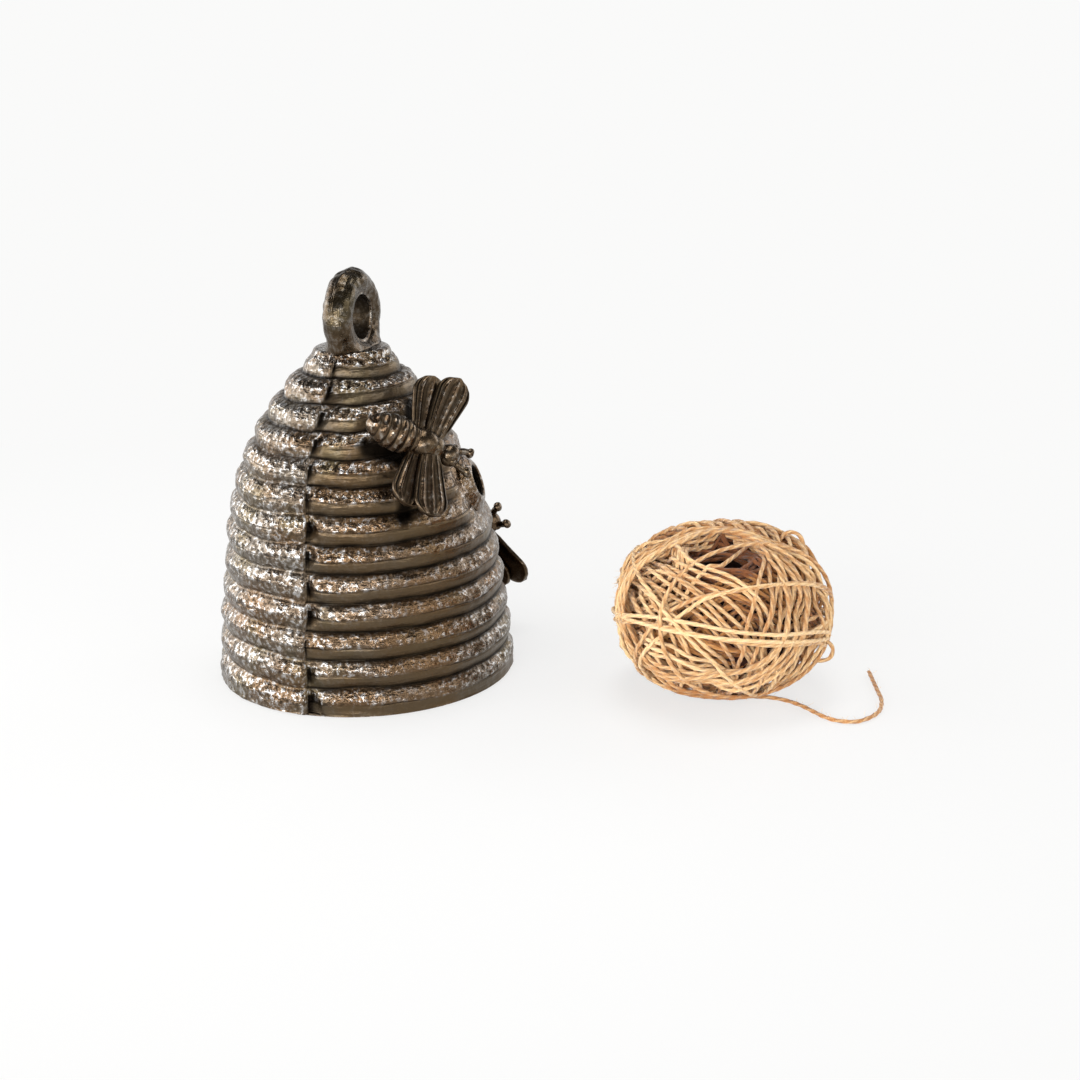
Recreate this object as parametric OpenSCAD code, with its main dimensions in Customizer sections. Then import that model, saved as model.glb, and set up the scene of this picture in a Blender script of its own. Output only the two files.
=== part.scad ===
// Cast-iron string holder in the shape of a straw beehive, with two cast bees,
// a hanging loop, and the ball of jute twine that the hive is set over.
// +Z is up, the origin is on the hive's axis at the table, and -Y is the front,
// where the string comes out, a little to the right. All lengths are in millimetres.

/* [Hive] */
// Radius of the crests of the rope rings, at the foot
foot_r = 55; // [45:0.5:70]
// Lean of the side from upright, at the foot, in degrees
side_lean = 3.5; // [0:0.5:6]
// Radius of the slow curve of the side
side_curve_r = 500; // [400:10:2000]
// Length of the side, along the outline, before the crown begins to curve
side_run = 55; // [50:1:80]
// Radius of the outline where it meets the crown pad
crown_r = 11.4; // [10:0.1:13]
// Number of rope rings from the foot to the collar
ring_count = 13; // [11:1:13]
// Distance from ring to ring, along the outline
ring_pitch = 10.2; // [9.5:0.1:10.8]
// Radius of one rope ring's rounded section
ring_r = 7; // [6:0.1:9]
// Thickness of the casting, from crest to inside
wall = 6.5; // [5.8:0.1:9]
// Height of the plain band round the foot
foot_band = 5; // [2:0.5:8]
// How far the foot band lies inside the crests
foot_inset = 0.5; // [0:0.1:1.5]
// Rim of the flat crown pad round the foot of the loop
pad_rim = 0.4; // [0.2:0.1:1.5]
// Sideways mismatch of the two mould halves, which leaves the seam
seam_shift = 0.8; // [0.2:0.1:1.5]

/* [Loop] */
// Radius of the loop, to the middle of its section
loop_r = 12; // [11:0.5:13]
// Radius of the loop's section
loop_section_r = 5.2; // [4:0.1:6]
// Radius of the eye, cleaned out with a drill
eye_r = 7.8; // [7:0.1:9]
// Width of the flat land that the drill leaves inside the eye
eye_land = 7.8; // [6:0.1:9]
// Height of the loop's middle over the crown pad
loop_rise = 10.6; // [9.5:0.1:11.5]

/* [Outlet] */
// Angle of the outlet from the front, positive to the viewer's right
outlet_angle = 12; // [0:1:20]
// Distance of the outlet from the foot, along the outline
outlet_run = 73; // [60:0.5:85]
// Radius of the hole for the string
outlet_r = 5.5; // [3:0.1:6.5]
// Radius of the raised collar round the hole
collar_r = 8; // [7:0.1:10]
// Height of the collar over the ring crests
collar_rise = 1; // [0.5:0.1:4]

/* [Bees] */
// Angle of the upper bee from the front, negative to the viewer's left
upper_bee_angle = -34; // [-60:1:-30]
// Distance of the upper bee from the foot, along the outline
upper_bee_run = 92.5; // [88:0.5:105]
// Heading of the upper bee over the level, negative downwards
upper_bee_heading = -32; // [-45:1:0]
// Angle of the lower bee from the front
lower_bee_angle = 65; // [56:1:72]
// Distance of the lower bee from the foot, along the outline
lower_bee_run = 38; // [34:0.5:54]
// Heading of the lower bee over the level to the right
lower_bee_heading = 150; // [140:1:170]
// Height of a bee's middle line over the ring crests
bee_rise = 6.3; // [6:0.1:8]
// Radius of the thorax, over the bee's foot
thorax_r = 5.6; // [5:0.1:6]
// Radius of the front of the thorax
chest_r = 4.8; // [4.2:0.1:5.6]
// Distance from the thorax's middle to the middle of its front
thorax_len = 4; // [2:0.1:5]
// Radius of the abdomen at its widest ridge
abdomen_r = 6.3; // [5.5:0.1:6.6]
// Length of the abdomen, from the thorax's middle
abdomen_len = 21.5; // [18:0.5:24]
// Number of ridges round the abdomen
ridge_count = 6; // [4:1:8]
// Radius of the head
head_r = 4; // [3.5:0.1:4.5]
// How far the head is sunk into the thorax
neck_lap = 1.6; // [0.5:0.1:2.5]
// Length of a feeler
feeler_len = 8.5; // [6:0.5:11]
// Radius of a feeler
feeler_r = 0.9; // [0.7:0.1:1.2]
// Radius of the knob on a feeler
feeler_knob_r = 1.2; // [1:0.1:1.6]
// Angle of a feeler to the bee's heading
feeler_spread = 20; // [10:1:35]
// Length of a forewing
forewing_len = 25; // [22:0.5:28]
// Length of a hindwing
hindwing_len = 23; // [18:0.5:25]
// Distance of the forewings' roots in front of the thorax's middle
forewing_root = 2.8; // [2:0.1:3.5]
// Distance of the hindwings' roots behind the thorax's middle
hindwing_root = 0.6; // [0:0.1:1.5]
// Angle of the forewings to the bee's heading
forewing_sweep = 77; // [65:1:85]
// Angle of the hindwings to the bee's heading
hindwing_sweep = 95; // [90:1:110]
// Radius of the round end of a wing
wing_tip_r = 6.2; // [4.5:0.1:6.5]
// Thickness of a wing
wing_t = 2.2; // [1.2:0.1:2.5]
// Tilt of the wings away from the hive
wing_tilt = 5; // [4:0.5:12]
// Number of veins on a wing
vein_count = 4; // [2:1:5]
// Angle that a wing's veins fan out over
vein_fan = 20; // [8:1:24]
// Radius of a vein
vein_r = 0.5; // [0.3:0.1:0.7]

/* [Fixings] */
// Radius of the foot that a bee stands on
post_r = 3.4; // [3:0.1:4]
// Depth of the foot's seat below the ring crests
seat_depth = 2.4; // [2:0.1:3]
// Radius of a bee's screw
screw_r = 2; // [1.5:0.1:2.2]
// Radius of the screw's head
screw_head_r = 3.8; // [3:0.1:4.5]
// Height of the screw's head
screw_head_h = 2.4; // [1.5:0.1:3]
// Width of the screwdriver slot
slot_w = 1; // [0.6:0.1:1.4]
// Depth of the screwdriver slot
slot_depth = 1.1; // [0.6:0.1:1.4]
// Length of the screw inside the bee
thread_len = 6; // [4:0.5:7]
// Radius of the washer
washer_r = 4.8; // [4.6:0.1:6]
// Thickness of the washer
washer_t = 0.9; // [0.5:0.1:1.5]

/* [Twine] */
// Width of the ball
ball_w = 79; // [70:1:90]
// Height of the ball
ball_h = 60; // [55:1:70]
// Diameter of the twine
twine_d = 2; // [1.8:0.1:2.6]
// Whole turns in each of the winding's two bands, the second wound across the first
band_turns = 9; // [6:1:9]
// Lean of a band's axis from upright, in degrees
band_tilt = 42; // [40:0.5:44]
// Half of a band's width, in degrees round the ball
band_half = 30.5; // [28:0.5:31]
// Radius of the pull hole
pull_hole_r = 8.5; // [5:0.5:9]
// Depth of the pull hole
pull_hole_depth = 24; // [10:1:35]
// Radius of the flat under the ball
ball_foot_r = 8; // [5:0.5:8.5]

/* [Clearances] */
// Room round a bee's foot in its seat
post_clear = 0.15; // [0.1:0.05:0.3]
// Room round the screw in the wall
hole_clear = 0.25; // [0.1:0.05:0.4]
// Room between the screw and the thread cut in the bee
thread_clear = 0.05; // [0.03:0.01:0.1]
// Room round a washer in its spot face
spot_clear = 0.5; // [0.3:0.1:0.6]
// Depth of the spot face at its shallowest
spot_depth = 0.6; // [0.5:0.1:1]
// Room between the twine and the ball's core
core_clear = 0.8; // [0.7:0.1:1.2]
// Room between one band of turns and the next
layer_clear = 0.9; // [0.8:0.1:1.2]

/* [Hidden] */
$fn = 96;
DEG = 180 / PI;
iron = "#4a4038";
bronze = "#2e2823";
steel = "#8a8a86";
jute = "#d2ad7c";
over = 20;                                // how far a cutting tool runs past the work
top_run = ring_count * ring_pitch;        // whole length of the outline
crown_run = top_run - side_run;           // length of the crown's curve
shoulder_lean = side_lean + DEG * side_run / side_curve_r;
shoulder_r = foot_r - side_curve_r * (cos(side_lean) - cos(shoulder_lean));
crown_curve_r = crown_run * DEG / (top_lean(shoulder_lean, 120) - shoulder_lean);
outline_steps = 4;                        // points along the outline for each ring
fill_depth = ring_r / 2;                  // the plain body under the rings
crown_z = outline(top_run)[1];            // top of the crown pad
crown_pad_r = sqrt(pow(loop_r + loop_section_r, 2) - pow(loop_rise, 2)) + pad_rim;
loop_z = crown_z + loop_rise;
bees = [[upper_bee_angle, upper_bee_run, upper_bee_heading],
        [lower_bee_angle, lower_bee_run, lower_bee_heading]];
washer_z = -wall + spot_depth;            // face that the washer lies on, below the crests
head_z = washer_z - washer_t;             // face under the screw's head
bee_head_x = thorax_len + chest_r + head_r - neck_lap;
swell_angles = [25, 165];                 // stretch of a sine that shapes the abdomen

// Twine, in the ball's own frame with the ball's middle at [0, 0, 0]
ball_at = [13, -134, ball_h / 2];
band_count = 2;
layer_step = twine_d + layer_clear;
wound = core_clear + twine_d / 2 + (band_count - 1) * layer_step;   // core to the outermost strand
core_a = ball_w / 2 - twine_d / 2 - wound;
pole_angle = 90 - band_tilt - band_half;  // from the pole to the nearest strand
core_c = (ball_h / 2 - twine_d / 2) / cos(pole_angle) - wound;
band_start = 34.5;                        // angles in degrees where a band starts and ends
band_end = 297;
band_sweep = 360 * band_turns + band_end - band_start;
band_hop = 149;                           // turn from one band's axis to the next, from above
last_band_at = 195;                       // where the last band's axis leans
turn_rings = 24;                          // rings of the tube in a turn
hop_rings = 10;                           // rings of the tube from one band to the next
hop_reach = 1.4;                          // how straight the strand leaves and enters a band
climb = [0.5, 0.7];                       // stretch of the hop in which it climbs a layer
rings_short = 2;                          // rings that the last band stops short, at its lowest
strand_sides = 6;

// Free end of the twine on the table, chosen by hand
tail_route = [[4, -146, 1], [5, -152, 1], [4, -158, 1], [1, -164, 1], [-3, -169, 1],
              [-7, -174, 1], [-9, -179, 1], [-8, -185, 1], [-3, -189, 1], [3, -191, 1],
              [9, -191, 1], [15, -190, 1], [21, -188, 1], [27, -186, 1],
              [33, -184, 1], [39, -182, 1]];
tail_sides = 8;
far_below = 1000;                         // the tail's rings face a point this deep

// Lean of the outline at the crown pad, between two angles: halved until the curve ends at crown_r
function top_lean(low, high, halvings = 40) =
    let (mid = (low + high) / 2,
         inset = crown_run * DEG / (mid - shoulder_lean) * (cos(shoulder_lean) - cos(mid)))
    halvings == 0 ? mid
    : inset > shoulder_r - crown_r ? top_lean(low, mid, halvings - 1)
    : top_lean(mid, high, halvings - 1);

// Lean of the outline from upright, at a distance run from the foot
function lean(run) = side_lean + DEG * (min(run, side_run) / side_curve_r
                                        + max(run - side_run, 0) / crown_curve_r);

// Outline of the crests as [radius, height], moved inwards by depth
function outline(run, depth = 0) =
    let (a = side_lean, b = lean(min(run, side_run)), c = lean(run))
    [foot_r - side_curve_r * (cos(a) - cos(b)) - crown_curve_r * (cos(b) - cos(c)) - depth * cos(c),
     side_curve_r * (sin(b) - sin(a)) + crown_curve_r * (sin(c) - sin(b)) - depth * sin(c)];

// The outline as a list of points
function outline_points(depth) =
    [for (i = [0 : ring_count * outline_steps]) outline(i * ring_pitch / outline_steps, depth)];

// Stand children on the ring crests: their Z points straight out of the wall, X down and Y level
module on_wall(angle, run) {
    rotate([0, 0, angle - 90])
    translate([outline(run)[0], 0, outline(run)[1]])
    rotate([0, 90 - lean(run), 0])
    children();
}

// Stand children where a bee stands, with X along its heading
module on_bee_seat(bee) {
    on_wall(bee[0], bee[1])
    rotate([0, 0, 90 + bee[2]])
    children();
}

// Half of the hive's section, solid to the axis
module hive_section() {
    intersection() {
        union() {
            polygon(concat([[0, 0]], outline_points(fill_depth), [[0, crown_z - fill_depth]]));
            for (i = [0 : ring_count - 1])
                translate(outline((i + 0.5) * ring_pitch, ring_r))
                circle(r = ring_r);
            square([foot_r - foot_inset, foot_band]);
            square([crown_pad_r, crown_z]);
        }
        square([2 * foot_r, crown_z]);
    }
}

// The hollow that the ball of twine stands in
module hive_hollow() {
    inside = outline_points(wall);
    rotate_extrude()
    polygon(concat([[0, -over], [inside[0][0], -over]], inside, [[0, inside[len(inside) - 1][1]]]));
}

// Holes and flats in the wall for one bee
module bee_fixing_cuts() {
    translate([0, 0, -seat_depth])
    cylinder(r = post_r + post_clear, h = over);
    translate([0, 0, -wall - over])
    cylinder(r = screw_r + hole_clear, h = 2 * over);
    translate([0, 0, washer_z - over])
    cylinder(r = washer_r + spot_clear, h = over);
}

module hive_shell() {
    color(iron)
    difference() {
        union() {
            rotate([0, 0, 180])
            rotate_extrude(angle = 180)
            hive_section();
            translate([-seam_shift, 0, 0])
            rotate_extrude(angle = 180)
            hive_section();
            on_wall(outlet_angle, outlet_run)
            translate([0, 0, -wall / 2])
            cylinder(r = collar_r, h = wall / 2 + collar_rise);
        }
        hive_hollow();
        on_wall(outlet_angle, outlet_run)
        cylinder(r = outlet_r, h = 2 * over, center = true);
        for (bee = bees)
            on_bee_seat(bee)
            bee_fixing_cuts();
    }
}

module loop_section() {
    translate([loop_r, 0])
    circle(r = loop_section_r);
    translate([loop_r - loop_section_r, -eye_land / 2])
    square([loop_section_r, eye_land]);
}

module hanging_loop() {
    color(iron)
    difference() {
        translate([0, 0, loop_z])
        rotate([90, 0, 0])
        rotate_extrude()
        loop_section();
        translate([-over, -over, crown_z - 2 * over])
        cube(2 * over);
        translate([0, 0, loop_z])
        rotate([90, 0, 0])
        cylinder(r = eye_r, h = over, center = true);
    }
}

// Flat wing with a narrow root at the origin, along +X: two circles and their common tangents
module wing_outline(length, root_r, tip_r) {
    reach = length - tip_r;
    turn = acos((root_r - tip_r) / reach);
    circle(r = root_r);
    translate([reach, 0])
    circle(r = tip_r);
    polygon([root_r * [cos(turn), sin(turn)], [reach, 0] + tip_r * [cos(turn), sin(turn)],
             [reach, 0] + tip_r * [cos(turn), -sin(turn)], root_r * [cos(turn), -sin(turn)]]);
}

// Wing with its veins fanning out from the root
module wing(length) {
    root_r = thorax_r / 2;
    vein_len = length - wing_tip_r - root_r;
    linear_extrude(wing_t)
    wing_outline(length, root_r, wing_tip_r);
    for (i = [0 : vein_count - 1])
        translate([root_r, 0, wing_t])
        rotate([0, 90, vein_fan * (i / (vein_count - 1) - 0.5)])
        cylinder(r = vein_r, h = vein_len);
}

// Fore and hind wing of one side, the fore wing lapped over the hind one
module wing_pair() {
    root_out = thorax_r / 3;
    lap = wing_t / 2;
    translate([forewing_root, root_out, lap])
    rotate([0, 0, forewing_sweep])
    rotate([0, -wing_tilt, 0])
    wing(forewing_len);
    translate([-hindwing_root, root_out, -lap])
    rotate([0, 0, hindwing_sweep])
    rotate([0, -wing_tilt, 0])
    wing(hindwing_len);
}

// Width of the abdomen along its length, from 0 at the thorax to 1 at the tip
function abdomen_swell(t) = sqrt(sin(swell_angles[0] * (1 - t) + swell_angles[1] * t));

// A feeler, along +Z
module feeler() {
    cylinder(r = feeler_r, h = feeler_len);
    translate([0, 0, feeler_len])
    sphere(r = feeler_knob_r);
}

// A bee in its own frame: X along its heading, Z out of the wall, Z = 0 at the ring crests
module bee() {
    $fn = 32;
    ridge_step = abdomen_len / (ridge_count + 1);
    color(bronze)
    difference() {
        union() {
            translate([0, 0, bee_rise]) {
                sphere(r = thorax_r);
                translate([thorax_len, 0, 0])
                sphere(r = chest_r);
                for (i = [1 : ridge_count])
                    translate([-i * ridge_step, 0, 0])
                    sphere(r = abdomen_r * abdomen_swell(i / ridge_count));
                translate([bee_head_x, 0, 0])
                sphere(r = head_r);
                for (side = [-1, 1])
                    translate([bee_head_x, 0, 0])
                    rotate([0, 90, side * feeler_spread])
                    feeler();
                wing_pair();
                mirror([0, 1, 0])
                wing_pair();
            }
            translate([0, 0, -seat_depth])
            cylinder(r = post_r, h = seat_depth + bee_rise);
        }
        translate([0, 0, -over])
        cylinder(r = screw_r + thread_clear, h = over - seat_depth + thread_len + screw_r);
    }
}

module upper_bee() {
    on_bee_seat(bees[0])
    bee();
}

module lower_bee() {
    on_bee_seat(bees[1])
    bee();
}

// Slotted screw from inside the hive, on the bee's axis
module bee_screw() {
    difference() {
        union() {
            translate([0, 0, head_z - screw_head_h])
            cylinder(r = screw_head_r, h = screw_head_h);
            translate([0, 0, head_z - screw_head_h])
            cylinder(r = screw_r, h = screw_head_h - head_z - seat_depth + thread_len);
        }
        translate([-over, -slot_w / 2, head_z - screw_head_h - over + slot_depth])
        cube([2 * over, slot_w, over]);
    }
}

module bee_screws() {
    color(steel)
    for (bee = bees)
        on_bee_seat(bee)
        bee_screw();
}

module bee_washers() {
    color(steel)
    for (bee = bees)
        on_bee_seat(bee)
        translate([0, 0, head_z])
        difference() {
            cylinder(r = washer_r, h = washer_t);
            translate([0, 0, -over])
            cylinder(r = screw_r + hole_clear, h = 2 * over);
        }
}

function unit(v) = v / norm(v);

// Unit vector at a share t of band b, whose turns step across the band as they go round
function band_point(b, t) =
    let (az = last_band_at + band_hop * (b - band_count + 1),
         axis = [sin(band_tilt) * cos(az), sin(band_tilt) * sin(az), cos(band_tilt)],
         level = [-sin(az), cos(az), 0],
         turn = band_start + band_sweep * t,
         across = band_half * (1 - 2 * t))
    cos(across) * (cos(turn) * level + sin(turn) * cross(axis, level)) + sin(across) * axis;

// Direction of the strand at a share t of band b
function band_way(b, t) = let (e = 0.0001) unit(band_point(b, t + e) - band_point(b, t - e));

// Unit vector at a share t of the hop from band b to the next one
function hop_point(b, t) =
    let (p = band_point(b, 1), q = band_point(b + 1, 0), s = 1 - t)
    unit(s * s * s * p + 3 * s * s * t * (p + hop_reach * band_way(b, 1))
         + 3 * s * t * t * (q - hop_reach * band_way(b + 1, 0)) + t * t * t * q);

// Layer of the strand at a share t of a hop
function hop_layer(t) =
    let (x = max(0, min(1, (t - climb[0]) / (climb[1] - climb[0]))))
    x * x * (3 - 2 * x);

// Centre of the strand for a unit vector q on a layer
function strand(q, layer) =
    let (rise = core_clear + twine_d / 2 + layer_step * layer)
    [q[0] * (core_a + rise), q[1] * (core_a + rise), q[2] * (core_c + rise)];

// Winding's centre line, with each end straight for one diameter
function winding_line() =
    let (rings = round(band_sweep / 360 * turn_rings),
         line = [for (b = [0 : band_count - 1])
                 let (end = b < band_count - 1 ? rings : rings - rings_short)
                 each concat([for (i = [0 : end]) strand(band_point(b, i / rings), b)],
                             b < band_count - 1
                             ? [for (i = [1 : hop_rings - 1])
                                strand(hop_point(b, i / hop_rings), b + hop_layer(i / hop_rings))]
                             : [])],
         first = line[0],
         last = line[len(line) - 1],
         way = band_way(band_count - 1, 1 - rings_short / rings))
    concat([first + twine_d * unit(first - line[1])], line,
           [last + twine_d * unit([way[0], way[1], 0])]);

// Least distance between stretches of a line that are apart along it, on points between its points
function least_distance(line, apart) =
    let (fine = [for (i = [0 : len(line) - 2]) for (t = [0, 0.25, 0.5, 0.75])
                 line[i] * (1 - t) + line[i + 1] * t])
    min([for (i = [0 : len(fine) - 1 - apart])
         min([for (j = [i + apart : len(fine) - 1]) norm(fine[i] - fine[j])])]);

// Tube of n sides along a line of points, its rings turned to face the point core
module tube(line, r, n, core) {
    last = len(line) - 1;
    ways = [for (i = [0 : last]) unit(line[min(i + 1, last)] - line[max(i - 1, 0)])];
    points = [for (i = [0 : last])
              let (side = unit(cross(ways[i], line[i] - core)),
                   up = cross(side, ways[i]))
              for (k = [0 : n - 1])
              line[i] + r * (cos(360 * k / n) * side + sin(360 * k / n) * up)];
    walls = [for (i = [0 : last - 1]) for (k = [0 : n - 1])
             let (a = i * n + k, b = i * n + (k + 1) % n)
             each [[a, a + n, b], [b, a + n, b + n]]];
    first_cap = [for (k = [1 : n - 2]) [0, k, k + 1]];
    last_cap = [for (k = [1 : n - 2]) [last * n, last * n + k + 1, last * n + k]];
    polyhedron(points, concat(walls, first_cap, last_cap));
}

module twine_core() {
    top = sqrt(1 - pow(pull_hole_r / core_a, 2)) * core_c;
    color(jute)
    translate(ball_at)
    difference() {
        union() {
            rotate_extrude()
            polygon([for (a = [-90 : 6 : 90]) [core_a * cos(a), core_c * sin(a)]]);
            translate([0, 0, -ball_h / 2])
            cylinder(r = ball_foot_r, h = ball_h / 2);
        }
        translate([0, 0, top - pull_hole_depth])
        cylinder(r = pull_hole_r, h = 2 * pull_hole_depth);
    }
}

module twine_winding() {
    line = winding_line();
    apart = 2 * turn_rings;
    echo(least_gap = least_distance(line, apart) - twine_d);
    color(jute)
    translate(ball_at)
    tube(line, twine_d / 2, strand_sides, [0, 0, 0]);
}

module twine_tail() {
    line = winding_line();
    start = ball_at + line[len(line) - 1];
    way = unit(line[len(line) - 1] - line[len(line) - 2]);
    color(jute)
    tube(concat([start, start + twine_d * way], tail_route), twine_d / 2, tail_sides,
         ball_at - [0, 0, far_below]);
}

hive_shell();
hanging_loop();
upper_bee();
lower_bee();
bee_screws();
bee_washers();
twine_core();
twine_winding();
twine_tail();
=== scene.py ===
# %% [markdown]
# A cast-iron string holder: a hollow beehive with a loop on top, two bees screwed to its side, and
# the ball of jute twine that it is set over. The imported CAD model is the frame. Each piece below is
# worked out with numpy in millimetres, in the CAD model's own axes, and replaces the plain solid that
# holds its place. The finishes are node trees, written as Python expressions.

import bmesh
import bpy
import numpy as np
from mathutils import Matrix


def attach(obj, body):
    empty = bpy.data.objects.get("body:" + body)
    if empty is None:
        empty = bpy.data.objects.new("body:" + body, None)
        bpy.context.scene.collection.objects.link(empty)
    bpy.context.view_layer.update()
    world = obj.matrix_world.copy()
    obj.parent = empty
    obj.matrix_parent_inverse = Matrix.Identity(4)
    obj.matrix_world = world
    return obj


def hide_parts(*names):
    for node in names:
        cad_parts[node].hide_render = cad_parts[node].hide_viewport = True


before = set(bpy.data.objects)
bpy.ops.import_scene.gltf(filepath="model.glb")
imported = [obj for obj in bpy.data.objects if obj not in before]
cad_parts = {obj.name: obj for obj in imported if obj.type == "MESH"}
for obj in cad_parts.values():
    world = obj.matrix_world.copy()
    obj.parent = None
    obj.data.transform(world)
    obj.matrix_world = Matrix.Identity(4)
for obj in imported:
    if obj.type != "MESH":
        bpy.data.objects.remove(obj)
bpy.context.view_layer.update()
MM = 0.001
TAU = 2 * np.pi

# %% [markdown]
# The camera comes first. It stands to the left of the string outlet and a little above the hive, 650 mm from
# the point that it looks at, and leans by a degree, as the hive leans in the photograph. A 60 mm lens on a
# 36 mm sensor gives the photograph's perspective.

# %% Camera
EYE = np.array([-579.4, -270.2, 245.4])
AIM = np.array([6.6, -66.9, 51.7])
CAMERA_LEAN = np.radians(-1.08)
LENS, SENSOR = 60, 36


def unit(v):
    """Vectors along the last axis, each divided by its own length."""
    return v / np.linalg.norm(v, axis=-1, keepdims=True)


def placed(name, data):
    """A new object in the scene that holds data."""
    thing = bpy.data.objects.new(name, data)
    bpy.context.scene.collection.objects.link(thing)
    return thing


def aimed(thing, side, back, at):
    """Sets an object's X axis along side, its Z axis along back and its place, in metres."""
    pose = np.eye(4)
    pose[:3, :3] = np.stack([side, np.cross(back, side), back], axis=1)
    pose[:3, 3] = at
    thing.matrix_world = Matrix(pose.tolist())


forward = unit(AIM - EYE)
level = unit(np.cross(forward, [0, 0, 1]))
right = np.cos(CAMERA_LEAN) * level + np.sin(CAMERA_LEAN) * np.cross(level, forward)
camera_data = bpy.data.cameras.new("camera")
camera_data.lens, camera_data.sensor_width = LENS, SENSOR
camera = placed("camera", camera_data)
aimed(camera, right, -forward, EYE * MM)
bpy.context.scene.camera = camera
print("camera at", EYE, "looking along", forward.round(3))

# %% [markdown]
# A piece is a skin of quads over a grid of points. One small class gathers grids, numbers their faces,
# turns each closed grid the right way out by the sign of its volume, and makes the mesh. A ring of
# points that has shrunk to one place is a pole: merging doubles closes it.

# %% Skins of quads


class Skin:
    """Grids of points in millimetres, gathered into the mesh of one piece."""

    def __init__(self):
        self.grids, self.count = [], 0

    def add(self, grid, uv=None, mark=0.0, grain=1.0, ring_rows=False):
        """Quads between neighbours in a grid of rows by columns; the columns join up into rings, and so
        do the rows with ring_rows. uv has one more column than the grid. mark and grain are one number a
        point, for the finish."""
        rows, columns = grid.shape[:2]
        index = self.count + np.arange(rows * columns).reshape(rows, columns)
        across = np.roll(index, -1, axis=1)
        if ring_rows:
            index, across = np.vstack([index, index[:1]]), np.vstack([across, across[:1]])
        faces = np.stack([index[:-1], across[:-1], across[1:], index[1:]], axis=-1).reshape(-1, 4)
        if uv is None:
            uv = np.zeros((index.shape[0], columns + 1, 2))
        corners = np.stack([uv[:-1, :-1], uv[:-1, 1:], uv[1:, 1:], uv[1:, :-1]], axis=2).reshape(-1, 4, 2)
        p = grid.reshape(-1, 3)
        a, b, c, d = (p[faces[:, k] - self.count] for k in range(4))
        volume = np.sum(a * (np.cross(b, c) + np.cross(c, d)))
        if volume < 0:
            faces, corners = faces[:, ::-1], corners[:, ::-1]
        numbers = [np.broadcast_to(v, (rows, columns)).reshape(-1) for v in (mark, grain)]
        self.grids.append((p, faces, corners, *numbers))
        self.count += len(p)

    def build(self, name, finish, body, slot):
        """The gathered grids as one smooth mesh object in metres, riding on a body."""
        points, faces, corners, marks, grains = (np.concatenate(part) for part in zip(*self.grids))
        mesh = bpy.data.meshes.new(name)
        mesh.from_pydata((points * MM).tolist(), [], faces.tolist())
        layer = mesh.uv_layers.new(name="along")
        layer.data.foreach_set("uv", corners.astype(np.float32).ravel())
        for key, values in (("mark", marks), ("grain", grains)):
            numbers = mesh.attributes.new(key, "FLOAT", "POINT")
            numbers.data.foreach_set("value", values.astype(np.float32))
        work = bmesh.new()
        work.from_mesh(mesh)
        bmesh.ops.remove_doubles(work, verts=work.verts, dist=1e-6)
        work.to_mesh(mesh)
        work.free()
        mesh.shade_smooth()
        piece = placed(name, mesh)
        piece.data.materials.append(finish)
        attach(piece, body)
        print(name, len(mesh.vertices), "points,", len(mesh.polygons), "faces")
        return piece


def one_skin(name, finish, body, slot, *grid, **options):
    """A piece that is made of a single grid."""
    skin = Skin()
    skin.add(*grid, **options)
    return skin.build(name, finish, body, slot)


# %% [markdown]
# A few forms come back: a ramp, a smooth step, a bell, a full turn, a profile turned round an axis, and a
# field of random lumps, as castings are never quite even.

# %% Forms that come back


def ramp(x):
    """x, held between 0 and 1."""
    return np.clip(x, 0, 1)


def smooth(x):
    """A smooth step from 0 at 0 to 1 at 1: three x squared less two x cubed."""
    return ramp(x) ** 2 * (3 - 2 * ramp(x))


def bell(x, width):
    """1 at 0, falling off on both sides as e to the power of minus x over width, squared."""
    return np.exp(-((x / width) ** 2))


def full_turn(columns):
    """Angles once round, at even steps."""
    return np.linspace(0, TAU, columns, endpoint=False)


def revolved(profile, angle):
    """Rows of radius and height turned round the Z axis, at the given angles."""
    profile, angle = np.asarray(profile, float), np.ravel(angle)
    ring = np.stack([np.cos(angle), np.sin(angle), 0 * angle], axis=-1)
    return profile[:, :1, None] * ring + profile[:, 1:, None] * np.array([0, 0, 1.0])


def lumps(p, size, seed, waves=24):
    """A smooth random field of unit spread: the sum of sines along random directions, whose wavelengths
    are about size millimetres."""
    draw = np.random.default_rng(seed)
    ways = unit(draw.normal(size=(waves, 3))) * (TAU / (size * draw.uniform(0.7, 1.4, (waves, 1))))
    return np.sin(p @ ways.T + draw.uniform(0, TAU, waves)).sum(axis=-1) * np.sqrt(2 / waves)


# %% [markdown]
# Shader maths is easier to read as sums than as boxes and wires. Value wraps a socket, so that adding or
# multiplying values adds Math nodes, and Bench adds any other node to a tree.

# %% Node trees as expressions


class Value:
    """A number or colour that changes over a surface."""

    def __init__(self, bench, socket):
        self.bench, self.socket = bench, socket

    def maths(self, operation, *numbers):
        return self.bench.node("ShaderNodeMath", {"operation": operation}, numbers)[0]

    def __add__(self, other):
        return self.maths("ADD", self, other)

    def __sub__(self, other):
        return self.maths("SUBTRACT", self, other)

    def __rsub__(self, other):
        return self.maths("SUBTRACT", other, self)

    def __mul__(self, other):
        return self.maths("MULTIPLY", self, other)

    __radd__ = __add__
    __rmul__ = __mul__

    def sine(self):
        return self.maths("SINE", self)

    def fade(self, low, high):
        """0 below low, 1 above high and a smooth step between."""
        smoothly = {"interpolation_type": "SMOOTHSTEP"}
        return self.bench.node("ShaderNodeMapRange", smoothly, [self, low, high])[0]


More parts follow.
